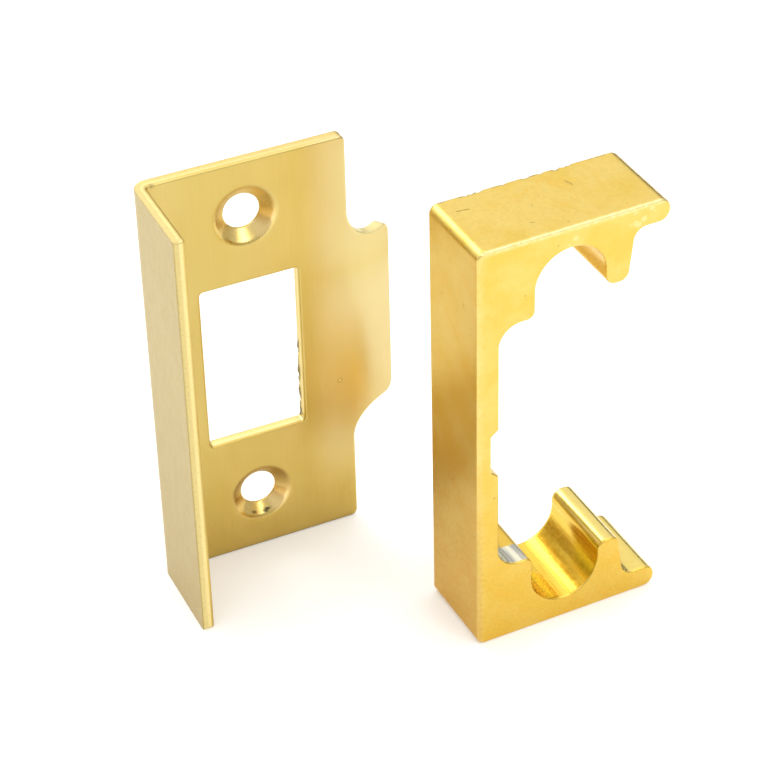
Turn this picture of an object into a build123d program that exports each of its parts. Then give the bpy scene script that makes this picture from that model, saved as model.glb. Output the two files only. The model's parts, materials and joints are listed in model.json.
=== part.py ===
"""Rebate kit for a tubular mortice lock: a rebated strike plate and a rebate spacer.

The two loose pieces stand upright side by side, each on its own lower end. X runs along the
width of the strike plate, Y runs from the front to the back and Z runs up. The origin is the
middle of the kit's footprint, on the surface that the pieces stand on.
"""
import os
from math import atan, degrees

from build123d import *

os.makedirs("parts", exist_ok=True)

# --- strike plate, pressed from sheet brass (mm) ---
plate_height = 57.0
plate_width = 26.4          # from the outside of the flange to the straight long edge
sheet = 1.5                 # thickness of the brass
flange_depth = 13.8         # from the back of the plate to the cut edge of the flange
bend_inside = 0.5           # inside radius of the fold
plate_corner = 0.9          # rounding of the plate's two free corners
flange_corner = 0.4         # rounding of the flange's two free corners

# --- latch opening and screw holes in the strike plate ---
opening_width = 12.7
opening_height = 23.0
opening_corner = 0.5
screw_spacing = 41.4
screw_hole = 2.3            # radius
screw_head = 3.9            # radius of the countersink at the front face
screw_land = 0.1            # straight part of the hole behind the countersink
punch_shift = 0.2           # opening and holes are this far right of the plate's middle
punch_rise = 0.35           # and this far above mid-height

# --- curled lip that leads the latch bolt in ---
lip_height = 25.1
lip_rise = 0.85             # middle of the lip above mid-height
lip_length = 7.2            # along the middle of the sheet, from the start of the curl
lip_inset = 0.65            # the curl starts this far inside the long edge
lip_curl = 10.4             # radius at the middle of the sheet
lip_corner = 1.5
lip_root = 4.4              # radius where the lip joins the long edge

# --- rebate spacer, one constant profile cast in zinc ---
spacer_height = 57.0
spacer_width = 24.8
spacer_depth = 11.6
upright = 2.85              # thickness of the upright that joins the two arms
heel_round = 1.1            # outer corners of the upright
tip = 3.0                   # thickness of the arms at their tips
tip_round = 1.45
tip_foot = 1.6              # radius between the tip and the horn
horn = 9.6                  # height of the rounded horn beside the channel
horn_width = 2.9
horn_slope = 0.8            # how far the horn's outer flank runs out towards its foot
horn_round = 1.3
channel_radius = 4.6        # half-round channel that clears the round lock case
channel_middle = 12.05      # from the outside of the upright
channel_floor = 2.85        # metal left under the channel
shoulder = 10.9             # height of the step between channel and upright
shoulder_corner = 1.0
shoulder_foot = 2.8
notch_mouth = 6.8           # shallow notch with sloping ends in the middle of the upright
notch_floor = 5.2
notch_depth = 1.0
notch_round = 0.3
casting_edge = 0.25         # softened edges of the casting

# --- how the two loose pieces stand beside each other ---
spacer_x = 29.0             # front heel of the spacer, from the plate's fold
spacer_y = -29.5
spacer_turn = 1.9           # degrees, counter-clockwise seen from above
origin_x = 26.9             # middle of the footprint, from the plate's fold
origin_y = -12.9

# The strike plate's front face looks towards -Y.
plate_foot = Plane(origin=(-origin_x, -origin_y, 0))
plate_front = Plane(
    origin=(plate_width / 2 - origin_x, -origin_y, plate_height / 2), x_dir=(1, 0, 0), z_dir=(0, -1, 0)
)
bend_outside = bend_inside + sheet
curl_angle = degrees(lip_length / lip_curl)
curl_start = plate_width - lip_inset
curl_front_radius = lip_curl + sheet / 2
curl_back_radius = lip_curl - sheet / 2
countersink_angle = 2 * degrees(atan((screw_head - screw_hole) / (sheet - screw_land)))

with BuildPart() as strike_plate:
    # Section through flange, fold, plate and curled lip, seen from above.
    with BuildSketch(plate_foot):
        with BuildLine():
            flange_inner = Line((sheet, sheet - flange_depth), (sheet, -bend_inside))
            fold_inner = JernArc(flange_inner @ 1, flange_inner % 1, bend_inside, -90)
            face = Line(fold_inner @ 1, (curl_start, 0))
            curl_face = JernArc(face @ 1, face % 1, curl_front_radius, curl_angle)
            back = Line((curl_start, sheet), (bend_outside, sheet))
            curl_back = JernArc(back @ 0, face % 1, curl_back_radius, curl_angle)
            Line(curl_face @ 1, curl_back @ 1)
            fold_outer = JernArc(back @ 1, back % 1, bend_outside, 90)
            flange_outer = Line(fold_outer @ 1, (0, sheet - flange_depth))
            Line(flange_outer @ 1, flange_inner @ 0)
        make_face()
    extrude(amount=plate_height)

    # Outline seen from the front: the plate's free corners and the roots of the lip.
    long_edge = plate_width / 2
    top = plate_height / 2
    lip_top = lip_rise + lip_height / 2
    lip_bottom = lip_rise - lip_height / 2
    beyond_lip = long_edge + lip_length
    with BuildSketch(plate_front):
        with BuildLine():
            FilletPolyline(
                (-long_edge, -top),
                (long_edge, -top),
                (long_edge, lip_bottom),
                (beyond_lip, lip_bottom),
                (beyond_lip, lip_top),
                (long_edge, lip_top),
                (long_edge, top),
                (-long_edge, top),
                radius=[0, plate_corner, lip_root, 0, 0, lip_root, plate_corner, 0],
                close=True,
            )
        make_face()
    extrude(amount=flange_depth, both=True, mode=Mode.INTERSECT)

    # Rounded corners of the lip's tip and of the flange's cut edge.
    lip_end = strike_plate.faces().sort_by(Axis.X)[-1]
    fillet(lip_end.edges().group_by(Edge.length)[0], lip_corner)
    flange_end = strike_plate.faces().sort_by(Axis.Y)[0]
    fillet(flange_end.edges().group_by(Edge.length)[0], flange_corner)

    # Latch opening.
    with BuildSketch(plate_front):
        with Locations((punch_shift, punch_rise)):
            RectangleRounded(opening_width, opening_height, opening_corner)
    extrude(amount=-sheet, mode=Mode.SUBTRACT)

    # Two countersunk screw holes.
    with Locations(plate_front):
        with Locations((punch_shift, punch_rise)):
            with GridLocations(0, screw_spacing, 1, 2):
                CounterSinkHole(
                    screw_hole, screw_head, depth=sheet, counter_sink_angle=countersink_angle
                )
strike_plate.part.label = "strike_plate"
export_step(strike_plate.part, "parts/strike_plate.step")

# The spacer's profile is drawn on its front face, from mid-height down, and mirrored up.
spacer_front = Plane(
    origin=(spacer_x - origin_x, spacer_y - origin_y, spacer_height / 2),
    x_dir=Vector(1, 0, 0).rotate(Axis.Z, spacer_turn),
    z_dir=Vector(0, -1, 0).rotate(Axis.Z, spacer_turn),
)

with BuildPart() as rebate_spacer:
    with BuildSketch(spacer_front):
        with BuildLine():
            foot = -spacer_height / 2
            channel_right = channel_middle + channel_radius
            channel_left = channel_middle - channel_radius
            channel_level = foot + channel_floor + channel_radius
            horn_right = channel_right + horn_width
            around_tip = FilletPolyline(
                (0, 0),
                (0, foot),
                (spacer_width, foot),
                (spacer_width, foot + tip),
                (horn_right + horn_slope, foot + tip),
                (horn_right, foot + horn),
                (channel_right, foot + horn),
                (channel_right, channel_level),
                radius=[heel_round, tip_round, tip_round, tip_foot, horn_round, horn_round],
            )
            channel = JernArc(around_tip @ 1, around_tip % 1, channel_radius, -180)
            FilletPolyline(
                channel @ 1,
                (channel_left, foot + shoulder),
                (upright, foot + shoulder),
                (upright, -notch_mouth / 2),
                (upright - notch_depth, -notch_floor / 2),
                (upright - notch_depth, 0),
                radius=[shoulder_corner, shoulder_foot, notch_round, notch_round],
            )
            mirror(about=Plane.XZ)
        make_face()
    extrude(amount=-spacer_depth)
    front_and_back = rebate_spacer.faces().filter_by(spacer_front)
    fillet(front_and_back.edges(), casting_edge)
rebate_spacer.part.label = "rebate_spacer"
export_step(rebate_spacer.part, "parts/rebate_spacer.step")
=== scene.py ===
"""Looks of a rebate kit: a satin brass strike plate and a brass-plated zinc rebate spacer.

Everything is in metres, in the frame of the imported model: X along the strike plate's width,
Y from the front to the back, Z up. Each piece is remade as one fine mesh from the outline of its
CAD node, so that its rims, sheared edges, burr and dents are real geometry.
"""

import json
import math

import bmesh
import bpy
import numpy as np
from mathutils import Matrix, Vector, kdtree, noise
from mathutils.geometry import delaunay_2d_cdt


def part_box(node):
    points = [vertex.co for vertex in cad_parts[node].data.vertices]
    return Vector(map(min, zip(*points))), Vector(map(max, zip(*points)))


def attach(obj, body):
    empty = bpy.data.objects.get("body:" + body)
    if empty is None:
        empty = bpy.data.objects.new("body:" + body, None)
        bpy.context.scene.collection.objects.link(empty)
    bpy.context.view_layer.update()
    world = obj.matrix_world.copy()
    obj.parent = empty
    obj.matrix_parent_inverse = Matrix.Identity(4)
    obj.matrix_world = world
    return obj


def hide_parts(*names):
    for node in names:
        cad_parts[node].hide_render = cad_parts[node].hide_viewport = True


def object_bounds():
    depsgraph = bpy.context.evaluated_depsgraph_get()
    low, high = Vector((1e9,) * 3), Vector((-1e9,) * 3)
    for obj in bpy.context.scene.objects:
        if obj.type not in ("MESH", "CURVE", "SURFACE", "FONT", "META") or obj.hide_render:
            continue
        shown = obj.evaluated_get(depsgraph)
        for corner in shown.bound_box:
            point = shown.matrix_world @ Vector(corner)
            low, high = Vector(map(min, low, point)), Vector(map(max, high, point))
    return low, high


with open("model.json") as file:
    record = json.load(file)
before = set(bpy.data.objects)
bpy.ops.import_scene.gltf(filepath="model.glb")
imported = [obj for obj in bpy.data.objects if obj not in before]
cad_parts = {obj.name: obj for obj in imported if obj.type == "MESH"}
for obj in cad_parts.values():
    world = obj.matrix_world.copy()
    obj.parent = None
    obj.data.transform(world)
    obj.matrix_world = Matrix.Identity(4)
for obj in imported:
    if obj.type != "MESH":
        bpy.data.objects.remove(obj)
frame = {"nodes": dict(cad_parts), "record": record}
cad_low, cad_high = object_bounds()
MM = 0.001
WELD = 0.001 * MM               # CAD vertices closer than this are one
FLAT = 0.00002 * MM             # CAD vertices this close to the plate's front face lie on it
mounts = {mount["name"]: mount for mount in frame["record"]["mounts"]}

# --- strike plate: thickness and bends of the sheet, as in the CAD ---
SHEET = 1.5 * MM
FOLD_INSIDE = 0.5 * MM
CURL_MIDDLE = 10.4 * MM
HEAD_RADIUS = 3.9 * MM          # countersink at the front face
HEAD_ROLL = 0.35 * MM           # soft rim around each countersink
HOLE_LEAD = 0.05 * MM           # softened back edge of the screw holes
CUT_ROLL = 0.28 * MM            # edge rolled over by the shears, on the front
CUT_BURR = 0.08 * MM            # sharper edge on the back

# --- rebate spacer ---
CASTING_EDGE = 0.25 * MM

# --- fineness of the meshes ---
RIM_STEP = 0.25 * MM
CAP_STEP = 0.55 * MM
HOLE_SIDES = 72
EVEN_ROWS = 0.866               # distance between rows of even triangles, in steps

# --- kinds of place on a slab, which the wear and the materials tell apart ---
ON_CAP, ON_RIM, ON_CONE, ON_WALL = 0.0, 0.5, 0.8, 1.0


# ---------------------------------------------------------------- outlines of the CAD nodes
def welded(node):
    """The vertices and triangles of a CAD node, each vertex once."""
    shape = bmesh.new()
    shape.from_mesh(node.data)
    bmesh.ops.remove_doubles(shape, verts=shape.verts, dist=WELD)
    shape.verts.index_update()
    points = np.array([v.co for v in shape.verts])
    triangles = np.array([[v.index for v in face.verts] for face in shape.faces])
    shape.free()
    return points, triangles


def rims(triangles):
    """The closed loops of vertices around a set of triangles, the triangles on their left."""
    sides = {(t[i], t[(i + 1) % 3]) for t in triangles.tolist() for i in range(3)}
    following = {a: b for a, b in sides if (b, a) not in sides}
    loops = []
    while following:
        start, onward = following.popitem()
        loop = [start]
        while onward != start:
            loop.append(onward)
            onward = following.pop(onward)
        loops.append(loop)
    return loops


def signed_area(outline):
    """Positive where the outline runs counter-clockwise."""
    onward = np.roll(outline, -1, 0)
    return 0.5 * np.sum(outline[:, 0] * onward[:, 1] - outline[:, 1] * onward[:, 0])


def rounded_out(outline, step):
    """A closed outline with its arcs filled in smoothly, as points about one step apart."""
    long_run = 2.2
    chord = np.roll(outline, -1, 0) - outline
    length = np.linalg.norm(chord, axis=1)
    ahead = chord / length[:, None]
    behind, behind_length = np.roll(ahead, 1, 0), np.roll(length, 1)
    tangent = ahead + behind
    tangent = np.where((length > long_run * behind_length)[:, None], ahead, tangent)
    tangent = np.where((behind_length > long_run * length)[:, None], behind, tangent)
    tangent /= np.linalg.norm(tangent, axis=1)[:, None]
    pieces = []
    for i in range(len(outline)):
        j = (i + 1) % len(outline)
        steps = max(1, round(length[i] / step))
        t = (np.arange(steps) / steps)[:, None]
        bow = (t**3 - 2 * t**2 + t) * tangent[i] + (t**3 - t**2) * tangent[j]
        sweep = 3 * t**2 - 2 * t**3
        pieces.append(outline[i] + sweep * (outline[j] - outline[i]) + length[i] * bow)
    return np.concatenate(pieces)


def circle(centre, radius, count):
    """A round hole's outline, with the metal on its left."""
    turn = -np.arange(count) * 2 * math.pi / count
    return np.array(centre) + radius * np.stack([np.cos(turn), np.sin(turn)], 1)


# ---------------------------------------------------------------- building a slab from outlines
class Slab:
    """A mesh between two caps, drawn on a flat sheet.

    Points are (across, up, depth), and wall says for each one what kind of place it is on.
    """

    def __init__(self):
        self.points = []
        self.wall = []
        self.faces = []

    def ring(self, outline, inset, depth, wall):
        """Adds the outline moved into the metal by inset, at a depth below the front."""
        along = np.roll(outline, -1, 0) - np.roll(outline, 1, 0)
        along /= np.linalg.norm(along, axis=1)[:, None]
        moved = outline + inset * np.stack([-along[:, 1], along[:, 0]], 1)
        first = len(self.points)
        self.points += [(a, b, depth) for a, b in moved]
        self.wall += [wall] * len(moved)
        return list(range(first, len(self.points)))

    def band(self, upper, lower):
        """Joins two rings with a strip of quads."""
        for i in range(len(upper)):
            j = (i + 1) % len(upper)
            self.faces.append((upper[i], lower[i], lower[j], upper[j]))

    def cap(self, loops, depth, step, front):
        """Fills the area inside the first loop and outside the others with even triangles."""
        rim = [index for loop in loops for index in loop]
        flat = np.array([self.points[index][:2] for index in rim])
        near = kdtree.KDTree(len(flat))
        for index, (a, b) in enumerate(flat):
            near.insert((a, b, 0), index)
        near.balance()
        low, high = flat.min(0), flat.max(0)
        inner = []
        rows = int((high[1] - low[1]) / (step * EVEN_ROWS)) + 1
        for row in range(rows):
            b = low[1] + (row + 0.5) * step * EVEN_ROWS
            for a in np.arange(low[0] + step * (0.25 + 0.5 * (row % 2)), high[0], step):
                if near.find((a, b, 0))[2] > 0.6 * step:
                    inner.append((a, b))
        inner = np.array(inner)
        inner = inner[inside(inner, flat, loops)]
        first = len(self.points)
        self.points += [(a, b, depth) for a, b in inner]
        self.wall += [ON_CAP] * len(inner)
        index_of = rim + list(range(first, len(self.points)))
        edges, start = [], 0
        for loop in loops:
            count = len(loop)
            edges += [(start + i, start + (i + 1) % count) for i in range(count)]
            start += count
        scale = 1 / MM
        corners = [Vector(p * scale) for p in np.concatenate([flat, inner])]
        result = delaunay_2d_cdt(corners, edges, [], 1, 1e-7, True)
        made, origin = result[2], result[3]
        spot = np.array([np.array(v) * MM for v in result[0]])
        middle = np.array([spot[list(face)].mean(0) for face in made])
        for face, keep in zip(made, inside(middle, flat, loops)):
            if keep:
                corner = [index_of[origin[v][0]] for v in face]
                self.faces.append(tuple(corner if front else corner[::-1]))


def inside(spots, flat, loops):
    """Which spots lie inside an odd number of the loops."""
    odd = np.zeros(len(spots), bool)
    start = 0
    for loop in loops:
        p = flat[start : start + len(loop)]
        q = np.roll(p, -1, 0)
        start += len(loop)
        crosses = (p[None, :, 1] > spots[:, None, 1]) != (q[None, :, 1] > spots[:, None, 1])
        climb = np.where(q[:, 1] == p[:, 1], 1, q[:, 1] - p[:, 1])
        reach = (q[:, 0] - p[:, 0]) * (spots[:, None, 1] - p[None, :, 1]) / climb + p[:, 0]
        odd ^= (crosses & (spots[:, None, 0] < reach)).sum(1) % 2 == 1
    return odd


def rounding(radius, steps):
    """(inset, depth) down a rounded rim, from the cap to the wall."""
    turns = [math.pi / 2 * i / steps for i in range(steps + 1)]
    return [(radius * (1 - math.sin(turn)), radius * (1 - math.cos(turn))) for turn in turns]


def through(thickness, front_round, back_round, steps, round_steps=4, support=0.03 * MM):
    """(inset, depth, wall) from the front cap to the back cap of a slab."""
    down = [(front_round + support, 0.0, ON_CAP)]
    down += [(inset, depth, ON_RIM) for inset, depth in rounding(front_round, round_steps)]
    run = thickness - front_round - back_round
    down += [(0.0, front_round + run * i / steps, ON_WALL) for i in range(1, steps)]
    up = [(inset, thickness - depth, ON_RIM) for inset, depth in rounding(back_round, round_steps)]
    return down + up[::-1] + [(back_round + support, thickness, ON_CAP)]


def make_piece(name, slab, place):
    """The slab as an object; place takes its flat points to where they belong in the model."""
    mesh = bpy.data.meshes.new(name)
    flat = np.array(slab.points)
    mesh.from_pydata(place(flat).tolist(), [], slab.faces)
    mesh.polygons.foreach_set("use_smooth", [True] * len(mesh.polygons))
    local = mesh.attributes.new("local", "FLOAT_VECTOR", "POINT")
    local.data.foreach_set("vector", (flat / MM).astype(np.float32).ravel())
    piece = bpy.data.objects.new(name, mesh)
    bpy.context.scene.collection.objects.link(piece)
    mark(piece, "wall", slab.wall)
    return piece, flat, np.array(slab.wall)


def mark(piece, name, values):
    """Stores one number for each vertex, which the materials read."""
    layer = piece.data.attributes.new(name, "FLOAT", "POINT")
    layer.data.foreach_set("value", np.asarray(values, np.float32))


# ---------------------------------------------------------------- strike plate
plate_low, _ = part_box("strike_plate")
plate_points, plate_triangles = welded(frame["nodes"]["strike_plate"])
FACE_Y = mounts["strike_back"]["pos_m"][1] - SHEET
FOLD_OUTSIDE = FOLD_INSIDE + SHEET
FOLD_MIDDLE = FOLD_INSIDE + SHEET / 2
FOLD_X, FOLD_Y = plate_low.x + FOLD_OUTSIDE, FACE_Y + SHEET - FOLD_OUTSIDE
CURL_X = plate_points[np.abs(plate_points[:, 1] - FACE_Y) < FLAT, 0].max()
CURL_FRONT = CURL_MIDDLE + SHEET / 2
FLANGE_RUN = FOLD_Y - plate_low.y
FOLD_RUN = FOLD_MIDDLE * math.pi / 2
FACE_START = FLANGE_RUN + FOLD_RUN
CURL_START = FACE_START + CURL_X - FOLD_X


def unrolled(points):
    """Row-frame points on the strike plate as (distance along the sheet, height, depth)."""
    x, y, z = points.T
    flange = np.stack([y - plate_low.y, z, plate_low.x + SHEET - x], 1)
    fold_turn = np.arctan2(y - FOLD_Y, FOLD_X - x)
    fold_reach = np.hypot(y - FOLD_Y, x - FOLD_X)
    fold = np.stack([FLANGE_RUN + FOLD_MIDDLE * fold_turn, z, fold_reach - FOLD_INSIDE], 1)
    face = np.stack([FACE_START + x - FOLD_X, z, y - FACE_Y], 1)
    curl_turn = np.arctan2(x - CURL_X, FACE_Y + CURL_FRONT - y)
    curl_reach = np.hypot(x - CURL_X, FACE_Y + CURL_FRONT - y)
    curl = np.stack([CURL_START + CURL_MIDDLE * curl_turn, z, CURL_FRONT - curl_reach], 1)
    flat = np.where((x > FOLD_X)[:, None], face, fold)
    flat = np.where((x > CURL_X)[:, None], curl, flat)
    return np.where(((y < FOLD_Y) & (x < FOLD_X))[:, None], flange, flat)


def rolled(flat):
    """The inverse of unrolled."""
    s, z, depth = flat.T
    flange = np.stack([plate_low.x + SHEET - depth, plate_low.y + s, z], 1)
    turn = (s - FLANGE_RUN) / FOLD_MIDDLE
    reach = FOLD_INSIDE + depth
    fold = np.stack([FOLD_X - reach * np.cos(turn), FOLD_Y + reach * np.sin(turn), z], 1)
    face = np.stack([FOLD_X + s - FACE_START, FACE_Y + depth, z], 1)
    turn = (s - CURL_START) / CURL_MIDDLE
    reach = CURL_FRONT - depth
    curl = np.stack(
        [CURL_X + reach * np.sin(turn), FACE_Y + CURL_FRONT - reach * np.cos(turn), z], 1
    )
    placed = np.where((s > FLANGE_RUN)[:, None], fold, flange)
    placed = np.where((s > FACE_START)[:, None], face, placed)
    return np.where((s > CURL_START)[:, None], curl, placed)


def plate_outlines():
    """The blank's outline and its latch opening, both on the unrolled sheet."""
    flat = unrolled(plate_points)
    on_front = (np.abs(flat[:, 2]) < 5 * WELD)[plate_triangles].all(1)
    outlines = [flat[loop, :2] for loop in rims(plate_triangles[on_front])]
    outlines.sort(key=lambda outline: -abs(signed_area(outline)))
    return outlines[:2]


def countersunk(hole_radius, cone_depth):
    """(inset, depth, wall) from the soft rim of a countersink, down its cone, to the back."""
    head = HEAD_RADIUS - hole_radius
    down = []
    for share in np.linspace(0, 1, 6):
        inset = head + HEAD_ROLL * (1 - share) ** 2 - HEAD_ROLL * share ** 2
        down.append((inset, cone_depth * HEAD_ROLL / head * share ** 2, ON_CONE * share))
    for share in np.linspace(HEAD_ROLL / head, 1, 10)[1:]:
        down.append((head * (1 - share), cone_depth * share, ON_CONE))
    return down + [(0.0, SHEET - HOLE_LEAD, ON_CONE), (HOLE_LEAD, SHEET, ON_RIM)]


def build_plate():
    slab = Slab()
    outer, opening = [rounded_out(outline, RIM_STEP) for outline in plate_outlines()]
    if signed_area(outer) < 0:
        outer, opening = outer[::-1], opening[::-1]
    screws = mounts["strike_screws"]
    hole_radius = screws["dims"]["hole_r_mm"] * MM
    half_spacing = screws["dims"]["spacing_y_mm"] * MM / 2
    middle_s = FACE_START + screws["pos_m"][0] - FOLD_X
    middle_z = screws["pos_m"][2]
    sheared = through(SHEET, CUT_ROLL, CUT_BURR, 8)
    sunk = countersunk(hole_radius, screws["pos_m"][1] - FACE_Y)
    cuts = [(outer, sheared), (opening, sheared)]
    for side in (-1, 1):
        hole = circle((middle_s, middle_z + side * half_spacing), hole_radius, HOLE_SIDES)
        cuts.append((hole, sunk))
    front_loops, back_loops = [], []
    for outline, profile in cuts:
        rings = [slab.ring(outline, inset, depth, wall) for inset, depth, wall in profile]
        for upper, lower in zip(rings, rings[1:]):
            slab.band(upper, lower)
        front_loops.append(rings[0])
        back_loops.append(rings[-1])
    slab.cap(front_loops, 0.0, CAP_STEP, True)
    slab.cap(back_loops, SHEET, CAP_STEP, False)
    return make_piece("strike_plate_pressing", slab, rolled)


# ---------------------------------------------------------------- rebate spacer
SPACER_BACK = Vector(mounts["spacer_back"]["axis"])
SPACER_SIDE = SPACER_BACK.cross(Vector((0, 0, 1)))
SPACER_FRONT_POINT = Vector(mounts["spacer_front"]["pos_m"])
SPACER_DEPTH = (Vector(mounts["spacer_back"]["pos_m"]) - SPACER_FRONT_POINT).dot(SPACER_BACK)
SPACER_HEEL = Vector(mounts["spacer_heel"]["pos_m"]).dot(SPACER_SIDE)
SPACER_FRAME = np.array([SPACER_SIDE, (0, 0, 1), SPACER_BACK])
SPACER_ORIGIN = np.array([SPACER_HEEL, 0, SPACER_FRONT_POINT.dot(SPACER_BACK)])


def to_spacer(points):
    """Row-frame points as (across from the heel, height, depth behind the front)."""
    return points @ SPACER_FRAME.T - SPACER_ORIGIN


def from_spacer(flat):
    """The inverse of to_spacer."""
    return (flat + SPACER_ORIGIN) @ SPACER_FRAME


def build_spacer():
    slab = Slab()
    points, triangles = welded(frame["nodes"]["rebate_spacer"])
    local = to_spacer(points)
    in_front = (local[:, 2] < CASTING_EDGE + 5 * WELD)[triangles].all(1)
    outline = local[rims(triangles[in_front])[0], :2]
    outline = rounded_out(outline, RIM_STEP)
    if signed_area(outline) < 0:
        outline = outline[::-1]
    profile = through(SPACER_DEPTH, CASTING_EDGE, CASTING_EDGE, 44)
    rings = [slab.ring(outline, inset, depth, wall) for inset, depth, wall in profile]
    for upper, lower in zip(rings, rings[1:]):
        slab.band(upper, lower)
    slab.cap([rings[0]], 0.0, CAP_STEP, True)
    slab.cap([rings[-1]], SPACER_DEPTH, CAP_STEP, False)
    return make_piece("rebate_spacer_casting", slab, from_spacer)


# ---------------------------------------------------------------- wear in the meshes
def ripple(points, wavelength, seed):
    """Smooth noise from -1 to 1 at each point."""
    shift = Vector((seed * 7.3, seed * 3.1, seed * 5.7))
    return np.array([noise.noise(Vector(p) / wavelength + shift) for p in points.tolist()])


def fade(value, full, none):
    """1 where the value is up to full, 0 from none on, smooth between."""
    t = np.clip((none - value) / (none - full), 0, 1)
    return t * t * (3 - 2 * t)


def rise(value, none, full):
    """0 where the value is up to none, 1 from full on, smooth between."""
    return fade(-value, -full, -none)


def push(piece, distance):
    """Moves each vertex along its normal by its own distance."""
    mesh = piece.data
    count = len(mesh.vertices)
    points, normals = np.zeros(count * 3), np.zeros(count * 3)
    mesh.vertices.foreach_get("co", points)
    mesh.vertex_normals.foreach_get("vector", normals)
    points = points.reshape(-1, 3) + normals.reshape(-1, 3) * distance[:, None]
    mesh.vertices.foreach_set("co", points.ravel())
    mesh.update()


# From here on, places and sizes on a piece are in millimetres: across, height and depth. On the
# plate, across runs along the sheet from the cut edge of the flange.
TOP = 57.0                      # both pieces end here
SPACER_BACK_DEPTH = 11.6

# Dents in the spacer: across, height, depth, radius and how deep.
SPACER_DENTS = [
    (0.9, TOP, 0.1, 0.50, 0.10),
    (4.6, TOP, SPACER_BACK_DEPTH, 0.50, 0.20),
    (5.4, TOP, 11.5, 0.45, 0.16),
    (6.3, TOP, SPACER_BACK_DEPTH, 0.55, 0.22),
    (9.4, TOP, SPACER_BACK_DEPTH, 0.60, 0.10),
    (12.4, TOP, SPACER_BACK_DEPTH, 0.70, 0.14),
    (14.3, TOP, SPACER_BACK_DEPTH, 0.50, 0.16),
    (16.3, TOP, 11.5, 0.60, 0.24),
    (17.3, TOP, SPACER_BACK_DEPTH, 0.50, 0.20),
    (18.0, TOP, SPACER_BACK_DEPTH, 0.45, 0.18),
    (6.1, TOP, 5.5, 0.35, 0.05),
    (15.0, TOP, 7.9, 0.40, 0.06),
    (16.5, TOP, 8.1, 0.50, 0.06),
    (0.0, 48.4, 3.1, 0.45, 0.06),
    (0.0, 48.9, 1.0, 0.35, 0.05),
    (1.4, 5.0, 0.0, 0.35, 0.07),
    (22.1, 54.6, 0.0, 0.40, 0.05),
]


def near(piece_points, spot, full, none):
    """1 within full of a spot, 0 beyond none, all in millimetres."""
    reach = np.linalg.norm(piece_points / MM - np.array(spot), axis=1)
    return fade(reach, full, none)


def wear_spacer(piece, flat):
    across, height, depth = (flat / MM).T
    middle = TOP / 2
    from_end = middle - np.abs(height - middle)

    # Skin of the casting, with dents and the dirt in them.
    distance = 0.008 * MM * ripple(flat, 2.6 * MM, 1) + 0.003 * MM * ripple(flat, 0.9 * MM, 2)
    dirt = np.zeros(len(flat))
    for *spot, radius, deep in SPACER_DENTS:
        dent = near(flat, spot, 0.0, radius)
        distance -= deep * MM * dent
        dirt = np.maximum(dirt, 0.5 * dent * min(1, deep / 0.12))
    push(piece, distance)

    # Patch without plating, on the lower shoulder near the front.
    bare = fade(depth, 3.0, 3.8) * rise(depth, 0.15, 0.35)
    bare *= fade(np.abs(across - 5.0), 1.9, 2.4) * fade(np.abs(height - 12.2), 2.0, 2.8)
    mark(piece, "bare", bare)

    # Inner walls of the arms: polished below, painted shade above (darker and browner), amber in the
    # channels and on the shoulders, and painted shade on the left side of the lower channel.
    arm = fade(from_end, 10.5, 12.0) * rise(across, 6.9, 7.6)
    within = rise(depth, 0.1, 0.3) * fade(depth, 11.3, 11.5) * rise(from_end, 0.2, 0.5)
    mark(piece, "polished", arm * within * (height < middle))
    mark(piece, "amber", arm * within * fade(across, 16.7, 16.9) * fade(from_end, 10.0, 11.0))
    mark(piece, "under", arm * within * (height > middle))
    mark(piece, "hollow", arm * within * fade(across, 10.3, 11.8) * fade(height, 7.2, 9.0))

    # Outside of the upright, dirt, a painted highlight along the front edges and two rubbed spots on
    # the upper arm's front.
    mark(piece, "heel", fade(across, 0.25, 0.7))
    mark(piece, "dirt", rise(dirt, 0.1, 0.7))
    # Painted highlight: a pale band along the front top and front left edges.
    front_top = fade(depth, 0.1, 0.4) * fade(TOP - height, 0.25, 0.6)
    front_left = 0.35 * fade(depth, 0.1, 0.4) * fade(across, 0.4, 0.9)
    mark(piece, "worn", np.maximum(front_top, front_left))
    rubbed_tip = near(flat, (21.4, 55.4, 0.0), 1.4, 2.4)
    rubbed_middle = 0.9 * near(flat, (12.5, 54.6, 0.0), 0.6, 1.4)
    mark(piece, "rubbed", np.maximum(rubbed_tip, rubbed_middle))


# Dark specks in the lower countersink: right of the hole's middle, below it, and radius.
SWARF = [
    (0.50, 3.35, 0.45),
    (-0.15, 3.35, 0.20),
    (-0.80, 3.25, 0.22),
    (-1.25, 3.10, 0.22),
    (0.95, 3.20, 0.28),
]
SWARF_DEPTH = 0.48

OPENING_HALF_WIDTH = 6.35
BURR_HEIGHT = 23.3              # middle of the ragged stretch on the opening's right wall
LIP_MIDDLE = 41.0
LIP_ROOT = 36.5                 # the lip's upper edge lies beyond this, around this height
LIP_EDGE_HEIGHT = 43.0


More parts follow.
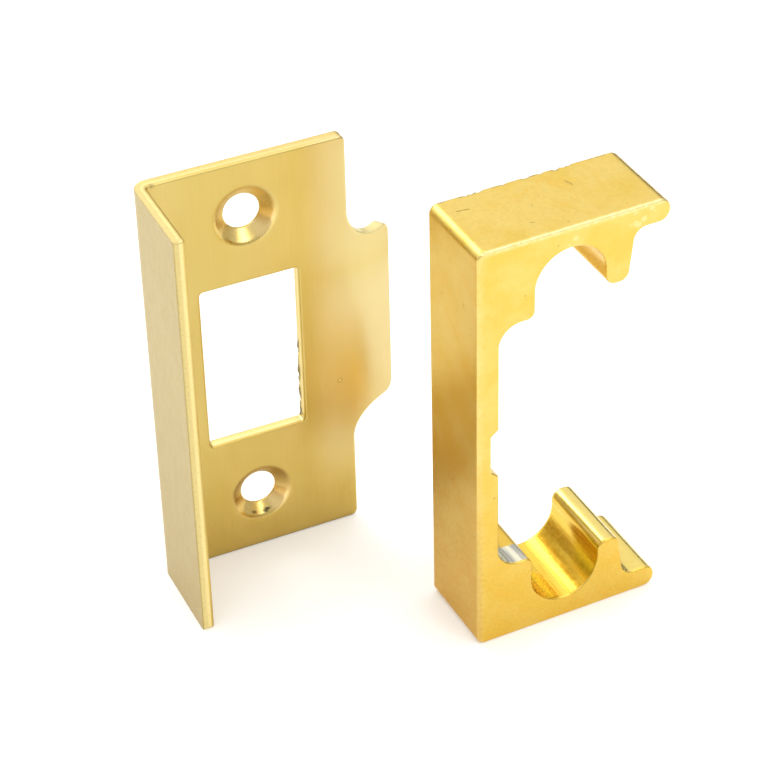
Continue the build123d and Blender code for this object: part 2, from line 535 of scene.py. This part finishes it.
def wear_plate(piece, flat, wall):
    across, height, depth = (flat / MM).T
    face_start = FACE_START / MM
    screw_x, _, screw_z = mounts["strike_screws"]["pos_m"]
    screw_across = (FACE_START + screw_x - FOLD_X) / MM
    screws_middle = screw_z / MM
    half_spacing = mounts["strike_screws"]["dims"]["spacing_y_mm"] / 2
    from_screw = np.abs(height - screws_middle) - half_spacing
    from_hole = np.hypot(across - screw_across, from_screw)
    cone = rise(wall, 0.05, 0.75) * (wall < 0.85) * (from_hole < HEAD_RADIUS / MM + 0.5)

    # Uneven sheet, rough sheared walls and a ragged burr on the opening's right wall.
    rough = ripple(flat, 0.45 * MM, 3) + 0.6 * ripple(flat, 0.22 * MM, 4)
    flatness = 0.008 * MM * ripple(flat * np.array([1, 0.5, 1]), 6 * MM, 5)
    burr = fade(np.abs(across - screw_across - OPENING_HALF_WIDTH), 0.12, 0.22) * rise(depth, 0.8, 1.1)
    burr *= fade(np.abs(height - BURR_HEIGHT), 5.4, 6.2)
    ragged = ripple(flat * np.array([1, 0.6, 1]), 0.7 * MM, 6) + 0.5 * ripple(flat, 0.3 * MM, 7)
    ragged = np.clip(ragged + 0.25, 0, 1)
    push(piece, flatness + 0.008 * MM * rough * (wall > 0.9) + 0.2 * MM * burr * ragged)

    # Dirt on the burr, in the lower countersink and at the top of the fold, and a painted shade line
    # along the foot.
    swarf = np.zeros(len(flat))
    for right, down, radius in SWARF:
        speck = (screw_across + right, screws_middle - half_spacing - down, SWARF_DEPTH)
        swarf = np.maximum(swarf, near(flat, speck, radius * 0.5, radius))
    swarf = cone * swarf * np.clip(1.1 + ripple(flat, 0.3 * MM, 9), 0, 1)
    fold_spot = 0.45 * near(flat, (face_start + 0.2, TOP, 0.0), 0.2, 0.5)
    on_burr = 0.8 * rise(burr * (ragged + 0.1), 0.08, 0.25) * (wall > 0.3)
    # Painted shade: a dark line along the foot of the front face.
    foot_shade = 0.55 * fade(height, 0.12, 0.4) * fade(depth, 0.2, 0.5) * rise(across, 15, 16)
    mark(piece, "dirt", np.maximum.reduce([on_burr, swarf, fold_spot, foot_shade]))

    # Countersinks: darker at the top, the upper one half as much, and lit at the lower right.
    above_hole = np.where(height > screws_middle, from_screw, -from_screw)
    shade_depth = np.where(height > screws_middle, 0.5, 1.0)
    mark(piece, "cone", cone)
    mark(piece, "cone_shade", shade_depth * cone * rise(above_hole, -0.8, 2.0))
    lower_right = (0.80 * (across - screw_across) - 0.60 * above_hole) / np.maximum(from_hole, 0.1)
    mark(piece, "cone_glow", cone * rise(lower_right, 0.80, 0.97))

    # Sheared walls, painted sheen on the lip and top, the flange's outside, painted highlight on the
    # lip's edge.
    mark(piece, "sheared", (wall > 0.9) * (from_hole > HEAD_RADIUS / MM))
    # Painted sheen: paler on the lip and on the top's right side.
    lip_sheen = fade(np.abs(height - 23.0), 9.0, 19.0)
    top_sheen = rise(height, 32.0, 44.0)
    pale_side = fade(np.abs(across - LIP_MIDDLE), 5.0, 9.5) * (depth < 0.5)
    mark(piece, "worn", pale_side * np.maximum(0.75 * lip_sheen, 0.5 * top_sheen))
    mark(piece, "outside", fade(across, face_start - 1.5, face_start) * (depth > SHEET / MM / 2))
    # Painted highlight: the lip's edge is made dull and pale where its reflection would be dark.
    on_lip_edge_highlight = (wall > 0.05) * (across > LIP_ROOT) * (np.abs(height - LIP_EDGE_HEIGHT) < 3.5)
    mark(piece, "lip_edge", on_lip_edge_highlight)


# ---------------------------------------------------------------- materials
def new_material(name):
    material = bpy.data.materials.new(name)
    material.use_nodes = True
    return material, material.node_tree, material.node_tree.nodes["Principled BSDF"]


class Paint:
    """Short calls for making and joining the nodes of one tree."""

    def __init__(self, tree):
        self.tree = tree

    def node(self, kind, **settings):
        made = self.tree.nodes.new(kind)
        for key, value in settings.items():
            setattr(made, key, value)
        return made

    def put(self, socket, value):
        """A socket's value, or the link into it."""
        if isinstance(value, bpy.types.NodeSocket):
            self.tree.links.new(value, socket)
        else:
            socket.default_value = value

    def local(self, across=1, up=1, depth=1):
        """The place on the piece in millimetres, each axis multiplied."""
        made = self.node("ShaderNodeVectorMath", operation="MULTIPLY")
        source = self.node("ShaderNodeAttribute", attribute_name="local")
        self.put(made.inputs[0], source.outputs["Vector"])
        made.inputs[1].default_value = (across, up, depth)
        return made.outputs[0]

    def axis(self, name):
        """One axis of the place on the piece: X across, Y up, Z depth."""
        made = self.node("ShaderNodeSeparateXYZ")
        self.put(made.inputs[0], self.local())
        return made.outputs[name]

    def noise(self, vector, scale=1.0, detail=3.0, roughness=0.5, distortion=0.0):
        made = self.node("ShaderNodeTexNoise")
        self.put(made.inputs["Vector"], vector)
        made.inputs["Scale"].default_value = scale
        made.inputs["Detail"].default_value = detail
        made.inputs["Roughness"].default_value = roughness
        made.inputs["Distortion"].default_value = distortion
        return made.outputs["Fac"]

    def dots(self, scale, radius, share):
        """1 in round dots at random places, in about this share of the cells."""
        made = self.node("ShaderNodeTexVoronoi")
        self.put(made.inputs["Vector"], self.local())
        made.inputs["Scale"].default_value = scale
        chance = self.node("ShaderNodeSeparateColor")
        self.put(chance.inputs[0], made.outputs["Color"])
        chosen = self.remap(chance.outputs[0], share, share - 0.02, 0, 1)
        return self.times(chosen, self.remap(made.outputs["Distance"], radius, radius * 0.5, 0, 1))

    def spot(self, place, radius, edge):
        """1 within a radius of a place on the piece, in millimetres."""
        made = self.node("ShaderNodeVectorMath", operation="DISTANCE")
        self.put(made.inputs[0], self.local())
        made.inputs[1].default_value = place
        return self.remap(made.outputs["Value"], radius, radius - edge, 0, 1)

    def scratch(self, start, turn, length, width):
        """1 along a straight scratch across the top, that leaves start at an angle."""
        along = (math.cos(turn), 0, math.sin(turn))
        beside = (-math.sin(turn), 0, math.cos(turn))
        distances = []
        for direction in (along, beside):
            made = self.node("ShaderNodeVectorMath", operation="DOT_PRODUCT")
            self.put(made.inputs[0], self.local())
            made.inputs[1].default_value = direction
            origin = sum(a * b for a, b in zip(start, direction))
            distances.append(self.plus(made.outputs["Value"], -origin))
        within = self.math("ABSOLUTE", self.plus(distances[0], -length / 2))
        on_line = self.remap(self.math("ABSOLUTE", distances[1]), width, width * 0.3, 0, 1)
        return self.times(self.remap(within, length / 2, length * 0.4, 0, 1), on_line)

    def remap(self, value, low, high, to_low, to_high):
        """Takes low to high smoothly to to_low to to_high, and stays there beyond them."""
        made = self.node("ShaderNodeMapRange", interpolation_type="SMOOTHSTEP")
        for socket, number in zip(made.inputs, (value, low, high, to_low, to_high)):
            self.put(socket, number)
        return made.outputs[0]

    def math(self, operation, first, second=0.0):
        made = self.node("ShaderNodeMath", operation=operation)
        self.put(made.inputs[0], first)
        self.put(made.inputs[1], second)
        return made.outputs[0]

    def times(self, first, second):
        return self.math("MULTIPLY", first, second)

    def plus(self, first, second):
        return self.math("ADD", first, second)

    def mix(self, share, first, second, blend="MIX"):
        made = self.node("ShaderNodeMix", data_type="RGBA", blend_type=blend)
        self.put(made.inputs[0], share)
        self.put(made.inputs[6], first)
        self.put(made.inputs[7], second)
        return made.outputs[2]

    def attribute(self, name):
        return self.node("ShaderNodeAttribute", attribute_name=name).outputs["Fac"]

    def bump(self, height, strength, distance, normal=None):
        made = self.node("ShaderNodeBump")
        self.put(made.inputs["Strength"], strength)
        made.inputs["Distance"].default_value = distance * MM
        self.put(made.inputs["Height"], height)
        if normal is not None:
            self.put(made.inputs["Normal"], normal)
        return made.outputs["Normal"]


LIP_PIT = (36.36, 22.0, 0.0)    # small painted glint with a dark halo of painted shade, at the root of the lip


def satin_brass():
    material, tree, shader = new_material("satin_brass")
    paint = Paint(tree)
    names = ("sheared", "cone", "cone_shade", "cone_glow", "outside", "lip_edge", "worn", "dirt")
    marks = [paint.attribute(name) for name in names]
    sheared, cone, cone_shade, cone_glow, outside, lip_edge, worn, dirt = marks
    up, depth = paint.axis("Y"), paint.axis("Z")
    hair = paint.noise(paint.local(9, 0.12, 3), 1.0, 4.0, 0.65)
    streak = paint.noise(paint.local(0.45, 0.03, 0.3), 1.0, 2.0, 0.5)
    cloud = paint.noise(paint.local(0.12, 0.07, 0.1), 1.0, 2.0, 0.5)
    grain = paint.noise(paint.local(), 2.6, 4.0, 0.6)
    mottle = paint.noise(paint.local(1.1, 0.5, 1), 1.0, 3.0, 0.6)

    # Brushed face: clouds, streaks and hairlines along the height, with painted shade that makes it
    # darker and browner towards the foot.
    deep, pale = (0.59, 0.433, 0.112, 1), (0.665, 0.51, 0.165, 1)
    streak_tone, hair_tone = (0.61, 0.48, 0.13, 1), (0.76, 0.60, 0.22, 1)
    sheen_tone = (0.74, 0.62, 0.33, 1)
    lower_shade_tint, foot_shade_tint = (0.95, 0.87, 0.62, 1), (0.84, 0.83, 0.85, 1)
    colour = paint.mix(paint.remap(cloud, 0.3, 0.7, 0, 1), deep, pale)
    colour = paint.mix(paint.remap(streak, 0.35, 0.65, 0.0, 0.5), colour, streak_tone)
    colour = paint.mix(paint.remap(hair, 0.3, 0.7, 0.0, 0.2), colour, hair_tone)
    # Painted sheen: paler on the lip and on the top's right side.
    colour = paint.mix(worn, colour, sheen_tone)
    # Painted shade: darker and browner from the middle of the face down.
    lower_shade = paint.remap(paint.plus(up, paint.times(cloud, 12)), 44, 6, 0, 0.9)
    colour = paint.mix(lower_shade, colour, lower_shade_tint, "MULTIPLY")
    # Painted shade: darker still near the foot.
    foot_shade = paint.remap(paint.plus(up, paint.times(mottle, 6)), 12, 3, 0, 0.8)
    colour = paint.mix(foot_shade, colour, foot_shade_tint, "MULTIPLY")
    # Painted glint with a ring of painted shade, at the root of the lip.
    halo_shade_tone, pit_tone = (0.35, 0.24, 0.06, 1), (0.95, 0.85, 0.50, 1)
    colour = paint.mix(paint.times(paint.spot(LIP_PIT, 0.5, 0.3), 0.35), colour, halo_shade_tone)
    colour = paint.mix(paint.spot(LIP_PIT, 0.17, 0.1), colour, pit_tone)

    # Matte outside of the flange.
    matte_deep, matte_pale = (0.50, 0.383, 0.132, 1), (0.53, 0.415, 0.155, 1)
    matte_grain, matte_foot_shade_tint = (0.38, 0.29, 0.10, 1), (0.86, 0.82, 0.68, 1)
    matte = paint.mix(paint.remap(mottle, 0.35, 0.65, 0, 1), matte_deep, matte_pale)
    matte = paint.mix(paint.remap(grain, 0.35, 0.65, 0.25, 0), matte, matte_grain)
    # Painted shade: darker towards the foot.
    matte = paint.mix(paint.remap(up, 45, 0, 0, 1), matte, matte_foot_shade_tint, "MULTIPLY")
    colour = paint.mix(outside, colour, matte)

    # Countersinks.
    cone_tone, shade_tone = (0.76, 0.56, 0.21, 1), (0.36, 0.23, 0.07, 1)
    glow_tone = (1.0, 0.74, 0.33, 1)
    colour = paint.mix(paint.times(cone, 0.6), colour, cone_tone)
    colour = paint.mix(paint.times(cone_shade, 0.8), colour, shade_tone)
    colour = paint.mix(paint.times(cone_glow, 0.85), colour, glow_tone)

    # Sheared edges, smooth near the front and torn behind, a painted highlight on the lip's edge, and
    # dirt and a painted shade line along the foot over all of it.
    smooth_tone, torn_tone = (0.84, 0.69, 0.30, 1), (0.74, 0.60, 0.23, 1)
    lip_edge_highlight_tone, top_edge_tint = (0.76, 0.64, 0.28, 1), (0.95, 0.88, 0.84, 1)
    dirt_and_shade_tone = (0.07, 0.055, 0.025, 1)
    torn = paint.remap(paint.plus(depth, paint.times(grain, 0.5)), 0.95, 1.15, 0, 1)
    cut = paint.mix(torn, smooth_tone, torn_tone)
    cut_share = paint.times(sheared, paint.remap(grain, 0.3, 0.55, 0.7, 1.0))
    colour = paint.mix(cut_share, colour, cut)
    # Painted highlight on the lip's edge.
    colour = paint.mix(lip_edge, colour, lip_edge_highlight_tone)
    top_edge = paint.times(sheared, paint.remap(up, TOP - 0.4, TOP - 0.1, 0, 1))
    colour = paint.mix(top_edge, colour, top_edge_tint, "MULTIPLY")
    # Dirt, and the painted shade line along the foot.
    colour = paint.mix(dirt, colour, dirt_and_shade_tone)

    rough = paint.remap(hair, 0.2, 0.8, 0.28, 0.38)
    for part, change in ((cone, -0.10), (cone_shade, 0.25), (outside, 0.12), (sheared, 0.05)):
        rough = paint.plus(rough, paint.times(part, change))
    height = paint.times(hair, paint.remap(paint.attribute("wall"), 0.1, 0.4, 1, 0))
    normal = paint.bump(height, 0.25, 0.012)
    normal = paint.bump(paint.times(mottle, sheared), 0.3, 0.08, normal)
    normal = paint.bump(paint.times(grain, outside), 0.3, 0.03, normal)
    dull = paint.math("MAXIMUM", outside, lip_edge)
    brushed_along = paint.node("ShaderNodeCombineXYZ")
    brushed_along.inputs["Y"].default_value = 0.05
    brushed_along.inputs["Z"].default_value = 1.0
    paint.put(shader.inputs["Base Color"], colour)
    paint.put(shader.inputs["Roughness"], rough)
    paint.put(shader.inputs["Normal"], normal)
    paint.put(shader.inputs["Metallic"], paint.remap(dull, 0, 1, 1.0, 0.35))
    paint.put(shader.inputs["Tangent"], brushed_along.outputs[0])
    paint.put(shader.inputs["Coat Weight"], paint.remap(cone, 0, 1, 0.4, 0.05))
    shader.inputs["Anisotropic Rotation"].default_value = 0.25
    shader.inputs["Anisotropic"].default_value = 0.7
    shader.inputs["Specular Tint"].default_value = (0.85, 0.74, 0.50, 1)
    shader.inputs["Coat Roughness"].default_value = 0.2
    return material


# Scratches on top of the spacer: start, angle, length and width.
TOP_SCRATCHES = [
    ((2.0, TOP, 8.9), -0.15, 1.8, 0.14),
    ((8.3, TOP, 3.0), -0.50, 0.6, 0.10),
    ((15.9, TOP, 8.9), -1.28, 1.5, 0.12),
]


def plated_zinc():
    material, tree, shader = new_material("plated_zinc")
    paint = Paint(tree)
    names = ("bare", "polished", "amber", "under", "hollow", "heel", "worn", "rubbed", "dirt")
    marks = [paint.attribute(name) for name in names]
    bare, polished, amber, under, hollow, heel, worn, rubbed, dirt = marks
    up, depth = paint.axis("Y"), paint.axis("Z")
    on_top = paint.remap(up, TOP - 0.6, TOP - 0.3, 0, 1)
    skin = paint.noise(paint.local(), 1.6, 3.0, 0.5)
    fine = paint.noise(paint.local(), 4.0, 3.0, 0.5)
    cloud = paint.noise(paint.local(), 0.22, 3.0, 0.5)
    stain = paint.noise(paint.local(1, 1, 0.6), 0.45, 4.0, 0.6, 0.8)
    drawn = paint.noise(paint.local(3.5, 3.5, 0.10), 1.0, 3.0, 0.5)

    # Plating, with stains, its own tone inside the arms, and painted shade under the upper arm and on
    # the left side of the lower channel.
    gold, pale, stain_tone = (0.77, 0.535, 0.102, 1), (0.79, 0.58, 0.15, 1), (0.80, 0.50, 0.08, 1)
    polished_tone, amber_tone = (0.84, 0.71, 0.28, 1), (0.97, 0.71, 0.10, 1)
    burnt_tone, pit_tone = (0.78, 0.46, 0.04, 1), (0.55, 0.38, 0.06, 1)
    under_shade_tint, hollow_tint = (0.86, 0.76, 0.62, 1), (0.48, 0.60, 0.90, 1)
    colour = paint.mix(paint.remap(cloud, 0.35, 0.65, 0, 1), gold, pale)
    colour = paint.mix(paint.remap(stain, 0.52, 0.72, 0, 0.5), colour, stain_tone)
    colour = paint.mix(paint.times(polished, 0.9), colour, polished_tone)
    colour = paint.mix(paint.times(amber, 0.8), colour, amber_tone)
    # Painted shade: darker and browner under the upper arm.
    colour = paint.mix(under, colour, under_shade_tint, "MULTIPLY")
    burnt = paint.times(amber, paint.remap(drawn, 0.50, 0.66, 0.0, 0.6))
    colour = paint.mix(burnt, colour, burnt_tone)
    # Painted shade on the left side of the lower channel.
    colour = paint.mix(hollow, colour, hollow_tint, "MULTIPLY")
    colour = paint.mix(paint.remap(skin, 0.35, 0.60, 0.06, 0), colour, pit_tone)

    # Painted shade, darker towards the foot, most of all on the outside of the upright, where it is
    # mottled with an orange-brown stain.
    foot_shade_tint, heel_shade_and_stain_tint = (0.94, 0.86, 0.60, 1), (0.90, 0.78, 0.58, 1)
    heel_foot_shade_tint = (0.92, 0.95, 0.86, 1)
    colour = paint.mix(paint.remap(up, 32, 0, 0, 0.9), colour, foot_shade_tint, "MULTIPLY")
    # Painted shade and an orange-brown stain on the upright's outside, darker towards the foot.
    heel_shade_and_stain = paint.times(heel, paint.remap(paint.plus(up, paint.times(cloud, 10)), 50, 8, -0.3, 1.0))
    heel_shade_and_stain = paint.times(heel_shade_and_stain, paint.remap(skin, 0.3, 0.7, 0.8, 1.2))
    colour = paint.mix(heel_shade_and_stain, colour, heel_shade_and_stain_tint, "MULTIPLY")
    # Painted shade: greener and darker at the foot of the upright's outside.
    heel_foot_shade = paint.times(heel, paint.remap(up, 24, 12, 0, 1))
    colour = paint.mix(heel_foot_shade, colour, heel_foot_shade_tint, "MULTIPLY")

    # Dark specks and the scratches on top.
    specks = paint.times(paint.dots(0.5, 0.10, 0.18), 0.45)
    scratched = 0.0
    for start, turn, length, width in TOP_SCRATCHES:
        scratched = paint.math("MAXIMUM", scratched, paint.scratch(start, turn, length, width))
    scratched = paint.times(scratched, on_top)
    scratched = paint.times(scratched, paint.remap(fine, 0.35, 0.55, 0.3, 0.9))
    colour = paint.mix(paint.math("MAXIMUM", specks, scratched), colour, (0.30, 0.20, 0.04, 1))

    # Painted highlight in patches along the front edges, and pale rubbed spots.
    patchy = paint.plus(paint.times(fine, 0.3), skin)
    rim_sheen = paint.times(worn, paint.remap(patchy, 0.50, 0.80, 0.4, 0.8))
    spots = paint.times(rubbed, paint.math("MAXIMUM", paint.dots(1.0, 0.55, 0.8), 0.2))
    spots = paint.times(spots, 0.45)
    colour = paint.mix(paint.math("MAXIMUM", rim_sheen, spots), colour, (0.92, 0.80, 0.42, 1))

    # Bare zinc where the plating is gone, with darker streaks.
    streaks = paint.noise(paint.local(1.3, 1.3, 0.10), 1.0, 1.0, 0.4)
    zinc, zinc_dark = (0.80, 0.78, 0.60, 1), (0.42, 0.41, 0.36, 1)
    metal = paint.mix(paint.remap(streaks, 0.36, 0.52, 0, 1), zinc_dark, zinc)
    bared = paint.remap(paint.plus(bare, paint.times(skin, 0.25)), 0.55, 0.75, 0, 1)
    colour = paint.mix(bared, colour, metal)

    # Dirt in the dents, and in dashes along the back edge of the top.
    back_edge = paint.times(paint.remap(depth, 11.1, 11.35, 0, 1), on_top)
    dashes = paint.noise(paint.local(0.7, 1.5, 2.5), 1.0, 4.0, 0.6)
    dashes = paint.times(back_edge, paint.remap(dashes, 0.50, 0.60, 0, 0.85))
    colour = paint.mix(paint.math("MAXIMUM", dirt, dashes), colour, (0.15, 0.11, 0.04, 1))

    rough = paint.remap(skin, 0.3, 0.7, 0.26, 0.34)
    rough = paint.plus(rough, paint.times(heel, 0.08))
    rough = paint.plus(rough, paint.times(polished, -0.07))
    height = paint.plus(paint.times(skin, 0.6), paint.times(paint.times(polished, drawn), 2.0))
    height = paint.plus(height, paint.times(fine, 0.15))
    height = paint.plus(height, paint.times(scratched, -1.0))
    paint.put(shader.inputs["Base Color"], colour)
    paint.put(shader.inputs["Roughness"], rough)
    paint.put(shader.inputs["Normal"], paint.bump(height, 0.25, 0.03))
    shader.inputs["Metallic"].default_value = 1.0
    return material


plate, plate_flat, plate_wall = build_plate()
wear_plate(plate, plate_flat, plate_wall)
plate.data.materials.append(satin_brass())
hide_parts("strike_plate")
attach(plate, "strike")

spacer, spacer_flat, _ = build_spacer()
wear_spacer(spacer, spacer_flat)
spacer.data.materials.append(plated_zinc())
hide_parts("rebate_spacer")
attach(spacer, "spacer")


# ---------------------------------------------------------------- stage, light and camera
def floor_material():
    material, _, shader = new_material("floor_paper")
    shader.inputs["Base Color"].default_value = (0.82, 0.82, 0.82, 1)
    shader.inputs["Roughness"].default_value = 0.6
    shader.inputs["Emission Color"].default_value = (1.0, 0.96, 0.90, 1)
    shader.inputs["Emission Strength"].default_value = 0.25
    return material


def build_floor(half=0.5):
    mesh = bpy.data.meshes.new("floor")
    corners = [(-half, -half, 0), (half, -half, 0), (half, half, 0), (-half, half, 0)]
    mesh.from_pydata(corners, [], [(0, 1, 2, 3)])
    mesh.materials.append(floor_material())
    floor = bpy.data.objects.new("floor", mesh)
    floor.location.z = -0.02 * MM
    bpy.context.scene.collection.objects.link(floor)


LIT_POINT = Vector((0, 0, 0.02))


def build_world():
    """A bright wall behind the pieces, a darker room in front and a soft ceiling."""
    world = bpy.data.worlds.new("studio")
    world.use_nodes = True
    paint = Paint(world.node_tree)
    direction = paint.node("ShaderNodeSeparateXYZ")
    paint.put(direction.inputs[0], paint.node("ShaderNodeTexCoord").outputs["Generated"])
    elevation = direction.outputs["Z"]
    ceiling = paint.remap(elevation, 0.60, 0.95, 0.0, 1.0)
    front = paint.plus(ceiling, 0.75)
    wall = paint.remap(elevation, 0.03, 0.12, 0.35, 1.12)
    to_the_right = paint.remap(direction.outputs["X"], 0.40, 0.62, 0, 1)
    dark_end = paint.times(to_the_right, paint.remap(elevation, 0.20, 0.36, 1, 0))
    wall = paint.times(wall, paint.remap(dark_end, 0, 1, 1.0, 0.15))
    wall = paint.plus(wall, paint.times(ceiling, 0.6))
    behind = paint.remap(direction.outputs["Y"], -0.25, 0.45, 0.0, 1.0)
    in_front = paint.math("SUBTRACT", 1, behind)
    light = paint.plus(paint.times(wall, behind), paint.times(front, in_front))
    seen = paint.node("ShaderNodeLightPath").outputs["Is Camera Ray"]
    background = world.node_tree.nodes["Background"]
    background.inputs["Color"].default_value = (1, 1, 1, 1)
    paint.put(background.inputs["Strength"], paint.math("MAXIMUM", light, seen))
    bpy.context.scene.world = world


def soft_box(name, place, width, height, power):
    """A rectangular lamp that looks at LIT_POINT."""
    light = bpy.data.lights.new(name, "AREA")
    light.shape = "RECTANGLE"
    light.size, light.size_y = width, height
    light.energy = power
    lamp = bpy.data.objects.new(name, light)
    lamp.location = place
    lamp.rotation_mode = "QUATERNION"
    lamp.rotation_quaternion = (LIT_POINT - Vector(place)).to_track_quat("-Z", "Y")
    bpy.context.scene.collection.objects.link(lamp)


def build_camera():
    """The camera fitted to the straight edges of the pieces in the photo."""
    heading, down, roll = math.radians(23.95), math.radians(36.53), math.radians(-1.52)
    distance, focal = 332.4 * MM, 130.02
    aim = (cad_low + cad_high) / 2 + Vector((-1.3, 1.7, 0.0)) * MM
    level = math.cos(down)
    forward = Vector((math.sin(heading) * level, math.cos(heading) * level, -math.sin(down)))
    data = bpy.data.cameras.new("camera")
    data.sensor_width = 36.0
    data.lens = focal
    data.clip_start, data.clip_end = 0.01, 20.0
    camera = bpy.data.objects.new("camera", data)
    camera.rotation_mode = "QUATERNION"
    camera.location = aim - forward * distance
    turn = Matrix.Rotation(roll, 3, "Z").to_quaternion()
    camera.rotation_quaternion = forward.to_track_quat("-Z", "Y") @ turn
    bpy.context.scene.collection.objects.link(camera)
    bpy.context.scene.camera = camera


build_floor()
build_world()
soft_box("front_box", (0.22, -0.45, 0.46), width=0.26, height=0.2, power=0.6)
soft_box("back_box", (-0.17, 0.60, 0.50), width=0.44, height=0.34, power=1.7)
build_camera()
bpy.context.scene.view_settings.view_transform = "Standard"
